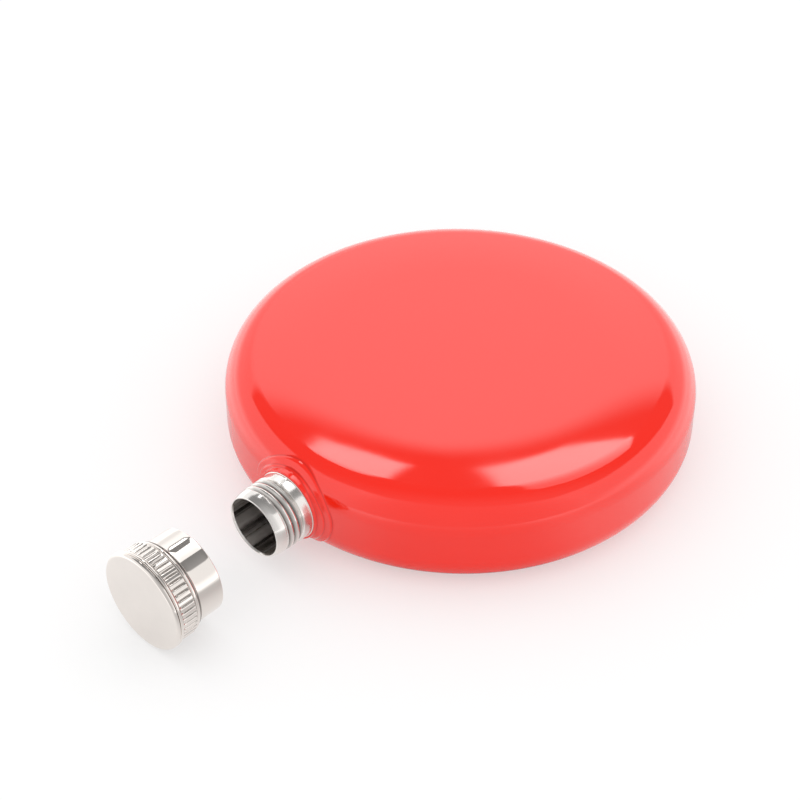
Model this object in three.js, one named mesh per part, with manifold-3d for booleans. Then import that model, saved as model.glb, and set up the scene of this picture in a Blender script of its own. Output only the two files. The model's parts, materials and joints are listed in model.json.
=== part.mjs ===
// A round hip flask lying on its back, with its screw cap drawn off the neck.
// Millimetres, +Z up. The origin is the centre of the flat back and the neck points along -Y.
import * as THREE from "three";
import { mergeVertices } from "three/addons/utils/BufferGeometryUtils.js";
import Module from "manifold-3d";

const wasm = await Module();
wasm.setup();

// Body: two alike drawn steel shells, welded edge to edge round the middle.
const BODY_DIAMETER = 98;
const BODY_THICKNESS = 21.6;
const FLAT_DIAMETER = 56;
const CROWN_RADIUS = 190;
const EDGE_RADIUS = 7.2;
const SHELL_WALL = 0.6;

// Neck: a thin steel spout through the side of the body. Lengths run outwards from the body's side.
// The wall is measured under the thread's crest, and a drop is how far a stretch lies below that crest.
const NECK_LENGTH = 9.9;
const NECK_INSIDE = 2.1;
const NECK_WALL = 1;
const LIP_DROP = 0.6;
const LIP_ROUND = 0.18;
const LEAD_IN_LENGTH = 2.4;
const THREAD_RADIUS = 7.2;
const SHANK_DROP = 0.4;

// Boss: the saddle that joins the neck to the body, a flat round seat inside two low oval steps.
const BOSS_SEAT_WIDTH = 0.7;
const BOSS_SEAT_HEIGHT = 0.9;
const INNER_STEP_WIDTH = 1.5;
const INNER_STEP_HEIGHT = 0.85;
const OUTER_STEP_WIDTH = 1.4;
const OUTER_STEP_HEIGHT = 0.5;
const STEP_OVAL = 0.85;

// Cap shell: lengths run from the closed face to the open end, and a stand is a height over the skirt.
const CAP_LENGTH = 12.65;
const CAP_TOP_WALL = 1.2;
const CAP_FACE_ROUND = 0.9;
const RIM_STAND = 1.45;
const CAP_GROOVE_WIDTH = 0.22;
const CAP_GROOVE_DEPTH = 0.55;
const FRONT_BEAD_WIDTH = 0.7;
const FLUTE_STAND = 1.05;
const FLUTE_LENGTH = 3.4;
const FLUTE_DEPTH = 0.4;
const FLUTE_PITCH = 1.25;
const FLUTE_GAP_SHARE = 0.34;
const BACK_BEAD_STAND = 0.85;
const BACK_BEAD_WIDTH = 0.75;
const LAST_BEAD_STAND = 0.5;
const LAST_BEAD_WIDTH = 0.6;
const SKIRT_WALL = 0.6;
const SKIRT_ROUND = 0.3;

// Inside the cap: a moulded cup that carries the thread, and the seal that meets the lip.
const LINER_WALL = 0.7;
const LINER_TOP_WALL = 0.8;
const LINER_RECESS = 0.6;
const SEAL_THICKNESS = 1.5;

// Clearances, and how far the cap is drawn off from where it closes.
const FIT_GAP = 0.2;
const THREAD_CLEARANCE = 0.25;
const CAP_DRAWN = 24.5;

// Facets round a full turn of the body and of the small turned pieces, and along a quarter round.
const BODY_FACETS = 72;
const TURNED_FACETS = 50;
const CROWN_STEPS = 3;
const EDGE_STEPS = 6;
const BEAD_STEPS = 4;

const BODY_RADIUS = BODY_DIAMETER / 2;
const HALF_THICKNESS = BODY_THICKNESS / 2;
const NECK_BORE_RADIUS = THREAD_RADIUS - NECK_WALL;
const LIP_RADIUS = THREAD_RADIUS - LIP_DROP;
const SHANK_RADIUS = THREAD_RADIUS - SHANK_DROP;
const NECK_HOLE_RADIUS = SHANK_RADIUS + FIT_GAP;
const LIP = BODY_RADIUS + NECK_LENGTH;
const BOSS_SEAT = BODY_RADIUS + BOSS_SEAT_HEIGHT;
const BOSS_SEAT_RADIUS = NECK_HOLE_RADIUS + BOSS_SEAT_WIDTH;
const INNER_STEP_RADIUS = BOSS_SEAT_RADIUS + INNER_STEP_WIDTH;
const OUTER_STEP_RADIUS = INNER_STEP_RADIUS + OUTER_STEP_WIDTH;
const LINER_BORE_RADIUS = THREAD_RADIUS + THREAD_CLEARANCE;
const LINER_RADIUS = LINER_BORE_RADIUS + LINER_WALL;
const CAP_BORE_RADIUS = LINER_RADIUS + FIT_GAP;
const SKIRT_RADIUS = CAP_BORE_RADIUS + SKIRT_WALL;
const FLUTE_RADIUS = SKIRT_RADIUS + FLUTE_STAND;
const RIM_RADIUS = SKIRT_RADIUS + RIM_STAND;
const LINER_START = CAP_TOP_WALL + FIT_GAP;
const SEAL_START = LINER_START + LINER_TOP_WALL + FIT_GAP;
const SEAL_END = SEAL_START + SEAL_THICKNESS;
const CAP_CLOSED_FACE = LIP + FIT_GAP + SEAL_END;

const lacquer = () => new THREE.MeshStandardMaterial({ color: 0xf23a2c, roughness: 0.18, metalness: 0.1 });
const steel = () => new THREE.MeshStandardMaterial({ color: 0xc9c5c2, roughness: 0.25, metalness: 1 });
const nickel = () => new THREE.MeshStandardMaterial({ color: 0xd8cdc8, roughness: 0.1, metalness: 1 });
const plastic = () => new THREE.MeshStandardMaterial({ color: 0xe9e6de, roughness: 0.5, metalness: 0 });
const rubber = () => new THREE.MeshStandardMaterial({ color: 0x8f8d8a, roughness: 0.7, metalness: 0 });

// Points along an arc about (cx, cy), both ends included, angles in degrees.
function arc(cx, cy, radius, from, to, steps) {
  return Array.from({ length: steps + 1 }, (_, i) => {
    const angle = THREE.MathUtils.degToRad(from + ((to - from) * i) / steps);
    return new THREE.Vector2(cx + radius * Math.cos(angle), cy + radius * Math.sin(angle));
  });
}

const point = (radius, along) => new THREE.Vector2(radius, along);

// A turned piece about +Z from its section: radius and place along the axis, outside before inside.
function turned(section, facets) {
  return new THREE.LatheGeometry(section, facets).rotateX(Math.PI / 2);
}

// A section that leaves the axis has to close on itself.
const closed = (section) => [...section, section[0].clone()];

// A solid to cut or join with, from a closed geometry, placed by a matrix where one is given.
function solid(geometry, matrix = new THREE.Matrix4()) {
  const bare = new THREE.BufferGeometry();
  bare.setAttribute("position", geometry.getAttribute("position").clone());
  bare.setIndex(geometry.getIndex());
  const merged = mergeVertices(bare.applyMatrix4(matrix), 1e-4);
  const index = merged.getIndex().array;
  const kept = [];
  for (let i = 0; i < index.length; i += 3) {
    const [a, b, c] = index.slice(i, i + 3);
    if (a !== b && b !== c && c !== a) kept.push(a, b, c);
  }
  const mesh = new wasm.Mesh({
    numProp: 3,
    vertProperties: merged.getAttribute("position").array,
    triVerts: new Uint32Array(kept),
  });
  return new wasm.Manifold(mesh);
}

function geometryOf(shape) {
  const mesh = shape.getMesh();
  const geometry = new THREE.BufferGeometry();
  geometry.setAttribute("position", new THREE.BufferAttribute(new Float32Array(mesh.vertProperties), 3));
  geometry.setIndex(new THREE.BufferAttribute(new Uint32Array(mesh.triVerts), 1));
  geometry.computeVertexNormals();
  return geometry;
}

function named(name, geometry, material) {
  const mesh = new THREE.Mesh(geometry, material);
  mesh.name = name;
  return mesh;
}

// The neck's own frame: its +Z runs out of the body's centre along the neck.
const neckAxis = new THREE.Group();
neckAxis.position.set(0, 0, HALF_THICKNESS);
neckAxis.rotation.x = Math.PI / 2;
neckAxis.updateMatrix();

// A plain bar along the neck, from the body's centre outwards, as tall as a share of its width.
function neckBar(radius, end = LIP, oval = 1) {
  const ends = [point(0, 0), point(radius, 0), point(radius, end), point(0, end)];
  return solid(turned(ends, TURNED_FACETS).scale(1, oval, 1), neckAxis.matrix);
}

// The outside of the upper half, moved outwards by an offset.
// It runs from the flat face over the crown and the edge to the side.
function halfSection(offset) {
  const flatRadius = FLAT_DIAMETER / 2;
  const edgeRadius = BODY_RADIUS - EDGE_RADIUS;
  const crownHeight = HALF_THICKNESS - CROWN_RADIUS;
  const lean = Math.asin((edgeRadius - flatRadius) / (CROWN_RADIUS - EDGE_RADIUS));
  const edgeHeight = crownHeight + (CROWN_RADIUS - EDGE_RADIUS) * Math.cos(lean);
  const meet = 90 - THREE.MathUtils.radToDeg(lean);
  return [
    ...arc(flatRadius, crownHeight, CROWN_RADIUS + offset, 90, meet, CROWN_STEPS),
    ...arc(edgeRadius, edgeHeight, EDGE_RADIUS + offset, meet, 0, EDGE_STEPS).slice(1),
  ];
}

// One drawn shell about the middle plane, from the inside of its face to the outside.
function shellSection() {
  return [
    point(0, HALF_THICKNESS - SHELL_WALL),
    ...halfSection(-SHELL_WALL),
    point(BODY_RADIUS - SHELL_WALL, 0),
    point(BODY_RADIUS, 0),
    ...halfSection(0).reverse(),
    point(0, HALF_THICKNESS),
  ];
}

// The whole outside of the body, grown outwards by an offset, as one solid on the table.
function bodyEnvelope(offset) {
  const upper = halfSection(offset).reverse();
  const lower = upper.map((p) => point(p.x, -p.y)).reverse();
  const face = HALF_THICKNESS + offset;
  const section = [point(0, -face), ...lower, ...upper, point(0, face)];
  const onTable = new THREE.Matrix4().makeTranslation(0, 0, HALF_THICKNESS);
  return solid(turned(section, BODY_FACETS), onTable);
}

// A shell with its half of the hole for the neck. The back shell is the front one turned over.
function shell(name, turnedOver) {
  const place = new THREE.Matrix4().makeTranslation(0, 0, HALF_THICKNESS);
  if (turnedOver) place.multiply(new THREE.Matrix4().makeRotationY(Math.PI));
  const hole = neckBar(NECK_HOLE_RADIUS);
  const dish = solid(turned(shellSection(), BODY_FACETS), place);
  return named(name, geometryOf(dish.subtract(hole)), lacquer());
}

// A low oval step round the neck that follows the round of the body.
function bossStep(radius, height) {
  return neckBar(radius, LIP, STEP_OVAL).intersect(bodyEnvelope(height));
}

// The steps, and a flat seat for the neck in their middle.
function neckBoss() {
  const seat = neckBar(BOSS_SEAT_RADIUS, BOSS_SEAT);
  const inner = bossStep(INNER_STEP_RADIUS, INNER_STEP_HEIGHT);
  const outer = bossStep(OUTER_STEP_RADIUS, OUTER_STEP_HEIGHT);
  const boss = seat.add(inner).add(outer).subtract(bodyEnvelope(FIT_GAP)).subtract(neckBar(NECK_HOLE_RADIUS));
  return named("neck_boss", geometryOf(boss), lacquer());
}

// The spout: a shank inside the body, a collar that sits over the boss and runs on at the thread's full width,
// and a lead-in that tapers to a thin rounded lip.
function neck() {
  const collar = BOSS_SEAT + FIT_GAP;
  const inner = BODY_RADIUS - SHELL_WALL - NECK_INSIDE;
  const section = [
    point(NECK_BORE_RADIUS, inner),
    point(SHANK_RADIUS, inner),
    point(SHANK_RADIUS, collar),
    point(THREAD_RADIUS, collar),
    point(THREAD_RADIUS, LIP - LEAD_IN_LENGTH),
    ...arc(LIP_RADIUS - LIP_ROUND, LIP - LIP_ROUND, LIP_ROUND, 0, 90, BEAD_STEPS),
    point(NECK_BORE_RADIUS, LIP),
  ];
  return named("neck", turned(closed(section), TURNED_FACETS), steel());
}

// A half-round bead of a given width standing on a smaller radius.
function bead(radius, from, width) {
  const half = width / 2;
  return arc(radius - half, from + half, half, -90, 90, BEAD_STEPS);
}

// The grip: flat-topped ribs with narrow grooves between them, as a ring.
function fluteRing(insideRadius) {
  const count = Math.round((2 * Math.PI * FLUTE_RADIUS) / FLUTE_PITCH);
  const pitch = (2 * Math.PI) / count;
  const rib = [
    { turn: 0, radius: FLUTE_RADIUS - FLUTE_DEPTH },
    { turn: FLUTE_GAP_SHARE / 2, radius: FLUTE_RADIUS },
    { turn: 1 - FLUTE_GAP_SHARE / 2, radius: FLUTE_RADIUS },
  ];
  const outline = [];
  for (let i = 0; i < count; i++) {
    for (const corner of rib) {
      const angle = (i + corner.turn) * pitch;
      outline.push(new THREE.Vector2(Math.cos(angle), Math.sin(angle)).multiplyScalar(corner.radius));
    }
  }
  const ring = new THREE.Shape(outline);
  ring.holes.push(new THREE.Path().absarc(0, 0, insideRadius, 0, 2 * Math.PI));
  const straight = { depth: FLUTE_LENGTH, bevelEnabled: false, curveSegments: TURNED_FACETS };
  return new THREE.ExtrudeGeometry(ring, straight);
}

// The cap's plated shell: rounded face, front bead, fluted grip, rear beads and plain skirt.
function capShell() {
  const grooveRadius = FLUTE_RADIUS - CAP_GROOVE_DEPTH;
  const frontBead = CAP_FACE_ROUND + CAP_GROOVE_WIDTH;
  const fluteStart = frontBead + FRONT_BEAD_WIDTH + CAP_GROOVE_WIDTH;
  const backBead = fluteStart + FLUTE_LENGTH + CAP_GROOVE_WIDTH;
  const lastBead = backBead + BACK_BEAD_WIDTH;
  const faceRadius = RIM_RADIUS - CAP_FACE_ROUND;
  const section = [
    point(0, 0),
    ...arc(faceRadius, CAP_FACE_ROUND, CAP_FACE_ROUND, -90, 0, BEAD_STEPS),
    point(grooveRadius, CAP_FACE_ROUND),
    ...bead(RIM_RADIUS, frontBead, FRONT_BEAD_WIDTH),
    point(grooveRadius, fluteStart - CAP_GROOVE_WIDTH / 2),
    point(grooveRadius, fluteStart + FLUTE_LENGTH + CAP_GROOVE_WIDTH / 2),
    ...bead(SKIRT_RADIUS + BACK_BEAD_STAND, backBead, BACK_BEAD_WIDTH),
    ...bead(SKIRT_RADIUS + LAST_BEAD_STAND, lastBead, LAST_BEAD_WIDTH),
    point(SKIRT_RADIUS, lastBead + LAST_BEAD_WIDTH),
    ...arc(SKIRT_RADIUS - SKIRT_ROUND, CAP_LENGTH - SKIRT_ROUND, SKIRT_ROUND, 0, 90, BEAD_STEPS),
    point(CAP_BORE_RADIUS, CAP_LENGTH),
    point(CAP_BORE_RADIUS, CAP_TOP_WALL),
    point(0, CAP_TOP_WALL),
  ];
  const place = new THREE.Matrix4().makeTranslation(0, 0, fluteStart);
  const flutes = solid(fluteRing((CAP_BORE_RADIUS + grooveRadius) / 2), place);
  const shape = solid(turned(section, TURNED_FACETS)).add(flutes);
  return named("cap_shell", geometryOf(shape), nickel());
}

// The moulded cup inside the shell, whose bore carries the cap's thread.
function capLiner() {
  const end = CAP_LENGTH - LINER_RECESS;
  const section = [
    point(0, LINER_START),
    point(LINER_RADIUS, LINER_START),
    point(LINER_RADIUS, end),
    point(LINER_BORE_RADIUS, end),
    point(LINER_BORE_RADIUS, LINER_START + LINER_TOP_WALL),
    point(0, LINER_START + LINER_TOP_WALL),
  ];
  return named("cap_liner", turned(section, TURNED_FACETS), plastic());
}

// A loose seal disc with a rounded edge, held in the end of the liner.
function capSeal() {
  const half = SEAL_THICKNESS / 2;
  const edge = arc(LINER_BORE_RADIUS - FIT_GAP - half, SEAL_START + half, half, -90, 90, BEAD_STEPS);
  const section = [point(0, SEAL_START), ...edge, point(0, SEAL_END)];
  return named("cap_seal", turned(section, TURNED_FACETS), rubber());
}

// The cap's frame turns its own length back towards the neck.
const cap = new THREE.Group();
cap.position.set(0, 0, CAP_CLOSED_FACE + CAP_DRAWN);
cap.rotation.x = Math.PI;
cap.add(capShell(), capLiner(), capSeal());
neckAxis.add(neck(), cap);

const flask = new THREE.Group();
flask.add(shell("front_shell", false), shell("back_shell", true), neckBoss(), neckAxis);

export default flask;
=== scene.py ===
"""Dresses a round hip flask: lacquered body, threaded steel neck, plated screw cap with liner and seal."""

import json
import math
from types import SimpleNamespace

import bpy
import numpy as np
from mathutils import Matrix, Vector


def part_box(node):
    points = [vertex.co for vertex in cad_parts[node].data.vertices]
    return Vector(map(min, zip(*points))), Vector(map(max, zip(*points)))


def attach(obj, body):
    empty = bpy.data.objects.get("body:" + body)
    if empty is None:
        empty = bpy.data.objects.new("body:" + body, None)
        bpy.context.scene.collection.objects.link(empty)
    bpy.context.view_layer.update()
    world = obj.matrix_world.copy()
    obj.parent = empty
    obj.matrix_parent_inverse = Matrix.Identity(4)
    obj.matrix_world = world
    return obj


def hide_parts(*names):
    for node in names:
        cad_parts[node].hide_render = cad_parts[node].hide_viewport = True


bl_info = {
    "name": "Round Hip Flask",
    "version": (1, 0, 0),
    "blender": (4, 5, 0),
    "location": "View3D > Sidebar > Flask",
    "description": "Builds the finished surfaces of a round hip flask round its packed solids",
    "category": "Object",
}

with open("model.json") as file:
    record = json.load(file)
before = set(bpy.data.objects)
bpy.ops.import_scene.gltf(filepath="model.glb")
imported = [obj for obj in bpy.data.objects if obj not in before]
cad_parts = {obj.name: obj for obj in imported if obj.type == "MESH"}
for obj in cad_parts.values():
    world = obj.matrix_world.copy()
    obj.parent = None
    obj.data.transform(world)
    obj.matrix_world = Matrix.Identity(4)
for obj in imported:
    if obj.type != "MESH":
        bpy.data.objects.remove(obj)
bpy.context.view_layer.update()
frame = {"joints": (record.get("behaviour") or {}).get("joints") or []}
MM = 0.001

# Places along the neck's axis are distances out from the body's centre, which is on the axis.
BODY_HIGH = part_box("front_shell")[1]
NECK_LOW, NECK_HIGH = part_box("neck")
BOSS_LOW, BOSS_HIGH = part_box("neck_boss")
CAP_LOW, CAP_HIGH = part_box("cap_shell")
LINER_LOW, LINER_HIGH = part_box("cap_liner")
SEAL_LOW, SEAL_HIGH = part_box("cap_seal")
BODY_RADIUS = BODY_HIGH.x
HALF_THICKNESS = BODY_HIGH.z / 2
BODY_CENTRE = (0, 0, HALF_THICKNESS)
LIP = -NECK_LOW.y
NECK_END = -NECK_HIGH.y
THREAD_RADIUS = (NECK_HIGH.z - NECK_LOW.z) / 2
BOSS_SEAT = -BOSS_LOW.y
BOSS_RADIUS = BOSS_HIGH.x
CAP_FACE = -CAP_LOW.y
CAP_LENGTH = CAP_HIGH.y - CAP_LOW.y
RIM_RADIUS = (CAP_HIGH.z - CAP_LOW.z) / 2
LINER_RADIUS = (LINER_HIGH.z - LINER_LOW.z) / 2
SEAL_RADIUS = (SEAL_HIGH.z - SEAL_LOW.z) / 2
CAP_TRAVEL = next(j["range_m"][1] for j in frame["joints"] if j["name"] == "cap_pull")

# Rows of the body's grid over its flat, its crown, the crown by the boss, its edge and half of its side
BODY_ROWS = (8, 7, 14, 42, 10)
# Columns of that grid away from the boss and past it, then rows and columns of the other grids. The apron
# joins the boss to the body.
BODY_COLUMNS = 200
BOSS_COLUMNS = 90
BOSS_ROWS = 68
APRON_ROWS = 25
INSIDE_ROWS = 31
NECK_COLUMNS = 240
COLUMNS_FOR_EACH_FLUTE = 10
LINER_COLUMNS = 180
SEAL_COLUMNS = 144
ARC_POINTS = 7

TINY = 1e-9
SAME_POINT = 0.0001 * MM
# The usual small rounding of an edge
FINE = 0.1 * MM


# Properties

def length(label, millimetres, words):
    """A size that a user can change, kept in metres."""
    return bpy.props.FloatProperty(
        name=label, description=words, default=millimetres * MM, min=0, precision=5,
        subtype="DISTANCE", unit="LENGTH",
    )


def degrees(label, value, words):
    """An angle that a user can change, kept in radians."""
    return bpy.props.FloatProperty(
        name=label, description=words, default=math.radians(value), subtype="ANGLE"
    )


def number(label, value, words):
    """A plain number that a user can change."""
    return bpy.props.FloatProperty(name=label, description=words, default=value)


def colour(label, value, words):
    """A linear colour that a user can change."""
    return bpy.props.FloatVectorProperty(
        name=label, description=words, default=value, size=3, min=0, max=1, subtype="COLOR"
    )


class FlaskBodySizes(bpy.types.PropertyGroup):
    """The lacquered body and the boss round its neck."""

    flat_radius: length("Flat radius", 28, "Radius of the flat part of each face")
    crown_radius: length("Crown radius", 190, "Radius of the slight crown round the flat")
    edge_radius: length("Edge radius", 7.2, "Radius of the round edge")
    wall: length("Wall", 0.6, "Thickness of the steel")
    seat_radius: length("Seat radius", 7.75, "Radius of the flat seat round the neck")
    inner_step_radius: length("Inner step radius", 9.2, "Radius of the inner step of the boss")
    inner_step_height: length("Inner step height", 0.85, "Height of the inner step over the body")
    outer_step_height: length("Outer step height", 0.48, "Height of the outer step over the body")
    step_round: length("Step rounding", 0.34, "How far the lacquer rounds the steps of the boss")
    step_oval: number("Step oval", 0.85, "Height of the steps over their width")
    hole_radius: length("Hole radius", 6.83, "Radius of the hole that the neck goes through")
    patch_ring: length("Patch ring", 11.6, "Radius on the skin within which the boss keeps its finest grid")
    patch_width: length("Patch width", 14.2, "Half width of the part of the skin that carries the boss")
    patch_crown: length("Patch crown", 6, "How far that part runs on over the crown")


class FlaskNeckSizes(bpy.types.PropertyGroup):
    """The threaded steel neck."""

    bore_radius: length("Bore radius", 6.2, "Radius of the bore")
    lip_radius: length("Lip radius", 6.6, "Outside radius of the lip")
    lead_in: length("Lead-in", 2.4, "Length of the tapered band behind the lip")
    lead_in_crown: length("Lead-in crown", 0.1, "How far the band's middle stands over a straight taper")
    thread_length: length("Thread length", 4.2, "Length of the threaded stretch")
    thread_pitch: length("Thread pitch", 1.4, "Distance from one turn of the thread to the next")
    thread_depth: length("Thread depth", 0.48, "Height of the thread over its root")
    thread_ease: length("Thread ease", 0.5, "Length over which the thread runs out at both ends")
    shank_radius: length("Shank radius", 6.8, "Radius of the stretch inside the body")
    weld_width: length("Weld width", 0.14, "How far the weld fillet spreads over the boss")


class FlaskCapSizes(bpy.types.PropertyGroup):
    """The plated cap, its liner and its seal."""

    face_round: length("Face rounding", 0.7, "Radius of the round edge of the closed face")
    face_edge: length("Face edge", 0.1, "Straight edge behind that rounding")
    groove: length("Groove", 0.2, "Width of the grooves beside the beads")
    groove_depth: length("Groove depth", 0.45, "Depth of those grooves under the ribs of the grip")
    front_bead: length("Front bead", 0.7, "Width of the bead behind the face")
    flute_radius: length("Flute radius", 10.0, "Radius over the ribs of the grip")
    flute_length: length("Flute length", 3.4, "Length of the ribs of the grip")
    flute_depth: length("Flute depth", 0.4, "Depth of the grooves between the ribs")
    flute_ease: length("Flute ease", 0.2, "Length over which those grooves run out at both ends")
    flute_count: bpy.props.IntProperty(name="Flutes", description="Number of ribs", default=50, min=3)
    back_bead_radius: length("Back bead radius", 9.8, "Radius of the bead behind the grip")
    back_bead: length("Back bead", 0.75, "Width of the bead behind the grip")
    last_bead_radius: length("Last bead radius", 9.45, "Radius of the bead next to the skirt")
    last_bead: length("Last bead", 0.6, "Width of the bead next to the skirt")
    skirt_radius: length("Skirt radius", 8.95, "Outside radius of the plain skirt")
    skirt_wall: length("Skirt wall", 0.6, "Thickness of the skirt")
    top_wall: length("Top wall", 1.2, "Thickness of the closed face")
    liner_wall: length("Liner wall", 0.7, "Thickness of the liner")
    liner_top: length("Liner top", 0.8, "Thickness of the liner's closed end")
    liner_thread: length("Liner thread", 0.2, "Height of the thread inside the liner")
    thread_gap: length("Thread gap", 0.8, "Plain stretch of the liner between the seal and its thread")
    thread_ease: length("Thread ease", 0.4, "Run-out of that thread, and its distance from the rim")


class FlaskFinish(bpy.types.PropertyGroup):
    """Colours of the finishes."""

    lacquer: colour("Lacquer", (0.93, 0.016, 0.004), "Red gloss lacquer")
    # Painted shade: this colour darkens the lacquer in the inner corners of the boss's steps.
    crease_shade: colour("Crease", (0.5, 0.006, 0.002), "Lacquer that lies thick in inner corners of the boss")
    steel: colour("Steel", (0.8, 0.77, 0.74), "Turned steel of the neck")
    inside: colour("Inside", (0.84, 0.8, 0.77), "Bare steel of the bore and inside the body")
    nickel: colour("Nickel", (0.76, 0.71, 0.67), "Bright plate of the cap")
    # Painted shade: this colour darkens the bottoms of the grooves of the neck's thread and the cap's grip.
    groove_shade: colour("Grime", (0.07, 0.055, 0.045), "Darker tone at the bottom of grooves")
    liner: colour("Liner", (0.82, 0.8, 0.75), "Moulded liner")
    seal: colour("Seal", (0.28, 0.27, 0.26), "Soft seal")


class FlaskStage(bpy.types.PropertyGroup):
    """Camera, floor and studio."""

    azimuth: degrees("Azimuth", 43.96, "Turn of the camera round the body")
    elevation: degrees("Elevation", 39.63, "Height of the camera as an angle")
    distance: length("Distance", 420.1, "From the camera's plane to the body's centre")
    aim_left: length("Aim left", 12.55, "How far left of the body's centre the camera aims")
    aim_below: length("Aim below", 2.375, "How far below the body's centre the camera aims")
    lens: number("Lens", 90, "Focal length in millimetres")
    floor_size: length("Floor size", 6000, "Side of the square floor")
    floor_white: number("Floor white", 0.84, "Lightness of the floor")
    floor_lift: number("Floor lift", 0.12, "Light that whitens the floor")
    floor_shade: number("Floor shade", 0.62, "Share of the floor's shadow that is seen")
    near_shine: number("Near shine", 0.14, "Light that the near floor adds where it is reflected")
    far_shine: number("Far shine", 0.52, "Light that the far floor adds where it is reflected")
    plain_light: number("Plain light", 1.08, "Even light on everything")
    near_wall: number("Near wall", 0.68, "Light from the camera's side")
    far_wall: number("Far wall", 1.86, "Light from the far side")
    ceiling: number("Ceiling", 0.28, "Light from the dark ceiling")
    lamps: number("Lamps", 3.75, "Light of the lamps in the ceiling")


class FlaskSettings(bpy.types.PropertyGroup):
    """Everything that a user can change."""

    body: bpy.props.PointerProperty(type=FlaskBodySizes)
    neck: bpy.props.PointerProperty(type=FlaskNeckSizes)
    cap: bpy.props.PointerProperty(type=FlaskCapSizes)
    finish: bpy.props.PointerProperty(type=FlaskFinish)
    stage: bpy.props.PointerProperty(type=FlaskStage)


# Outlines and surfaces

def rounded(corners, closed=False):
    """An outline through corners of (radius, along, rounding).

    Each corner becomes an arc tangent to both of its sides: its two tangent points are swung round the arc's
    centre by even angles. The end corners of an open outline stay sharp. Repeated points are left out.
    """
    corners = np.asarray(corners, float)
    spot, size = corners[:, :2], np.maximum(corners[:, 2], TINY)
    before, after = np.roll(spot, 1, 0) - spot, np.roll(spot, -1, 0) - spot
    before /= np.linalg.norm(before, axis=1)[:, None]
    after /= np.linalg.norm(after, axis=1)[:, None]
    half = np.arccos(np.clip((before * after).sum(1), -1, 1)) / 2
    middle = (before + after) / np.maximum(np.linalg.norm(before + after, axis=1), TINY)[:, None]
    centre = spot + middle * (size / np.sin(half))[:, None]
    start = spot + before * (size / np.tan(half))[:, None] - centre
    end = spot + after * (size / np.tan(half))[:, None] - centre
    swing = math.pi - 2 * half
    share = np.linspace(0, 1, ARC_POINTS)[None, :]
    first = np.sin((1 - share) * swing[:, None]) / np.sin(swing)[:, None]
    last = np.sin(share * swing[:, None]) / np.sin(swing)[:, None]
    arcs = centre[:, None] + first[..., None] * start[:, None] + last[..., None] * end[:, None]
    outline = arcs.reshape(-1, 2)
    if not closed:
        outline = np.concatenate([spot[:1], arcs[1:-1].reshape(-1, 2), spot[-1:]])
    step = np.linalg.norm(np.diff(outline, axis=0), axis=1)
    return outline[np.concatenate([[True], step > SAME_POINT])]


def refined(outline, longest, start=0, end=0, finest=TINY):
    """The outline with points added: no side is over longest, or over finest between start and end."""
    side = np.linalg.norm(np.diff(outline, axis=0), axis=1)
    middle = (outline[1:, 1] + outline[:-1, 1]) / 2
    parts = np.ceil(side / np.where((middle > start) & (middle < end), finest, longest)).astype(int)
    owner = np.repeat(np.arange(len(side)), parts)
    share = (np.arange(parts.sum()) - np.repeat(np.cumsum(parts) - parts, parts)) / np.repeat(parts, parts)
    points = outline[owner] + share[:, None] * (outline[owner + 1] - outline[owner])
    return np.concatenate([points, outline[-1:]])


def smooth(low, high, value):
    """Rises from 0 at low to 1 at high with level ends: 3t squared less 2t cubed."""
    share = np.clip((value - low) / (high - low), 0, 1)
    return share * share * (3 - 2 * share)


def stretch(value, start, end, ease):
    """1 between start and end, falling to 0 over ease inside both."""
    return smooth(start, start + ease, value) * (1 - smooth(end - ease, end, value))


def carried_round(radius, along, angle):
    """An outline carried round the neck's axis: x is r cos t, and z is the axis height plus r sin t."""
    x = radius * np.cos(angle)
    z = HALF_THICKNESS + radius * np.sin(angle)
    return np.stack([x, -np.broadcast_to(along, x.shape), z], -1)


def even_angles(count):
    """Angles round a full turn."""
    return np.arange(count) * (2 * math.pi / count)


def thread_ridge(along, angle, pitch):
    """Height of a screw thread, from 0 to 1, with a broad crest.

    It is the root of a half plus half the cosine of the place along in pitches, as an angle, less the turn.
    """
    return np.sqrt(0.5 + 0.5 * np.cos(2 * math.pi * along / pitch - angle))


def band(first, second):
    """Quads between two closed rings of point numbers."""
    return np.stack([first, np.roll(first, -1), np.roll(second, -1), second], -1)


def ring_quads(rows, columns, start=0):
    """Quads of a grid whose columns close on themselves, from the point numbered start."""
    numbers = start + np.arange(rows * columns).reshape(rows, columns)
    beside = np.roll(numbers, -1, axis=1)
    return np.stack([numbers[:-1], beside[:-1], beside[1:], numbers[1:]], -1).reshape(-1, 4)


def fan(pole, ring):
    """Triangles from a pole to each side of a closed ring of point numbers."""
    return np.stack([np.full(len(ring), pole), np.roll(ring, -1), ring], -1)


# Meshes

def outward(points, quads, triangles):
    """The faces, turned over if together they enclose a negative volume."""
    corners = np.concatenate([quads[:, :3], quads[:, [0, 2, 3]], triangles])
    a, b, c = (points[corners[:, i]] for i in range(3))
    if (a * np.cross(b, c)).sum() < 0:
        return quads[:, ::-1], triangles[:, ::-1]
    return quads, triangles


def piece(name, points, quads, triangles, materials, body, stands_for):
    """A finished piece: its place is in its mesh, it rides on a body and it stands for CAD nodes."""
    quads, triangles = outward(points, quads, triangles)
    mesh = bpy.data.meshes.new(name)
    mesh.from_pydata(points.tolist(), (), quads.tolist() + triangles.tolist())
    mesh.update()
    mesh.shade_smooth()
    for material in materials:
        mesh.materials.append(material)
    made = bpy.data.objects.new(name, mesh)
    bpy.context.scene.collection.objects.link(made)
    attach(made, body)
    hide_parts(*stands_for)
    return made


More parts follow.
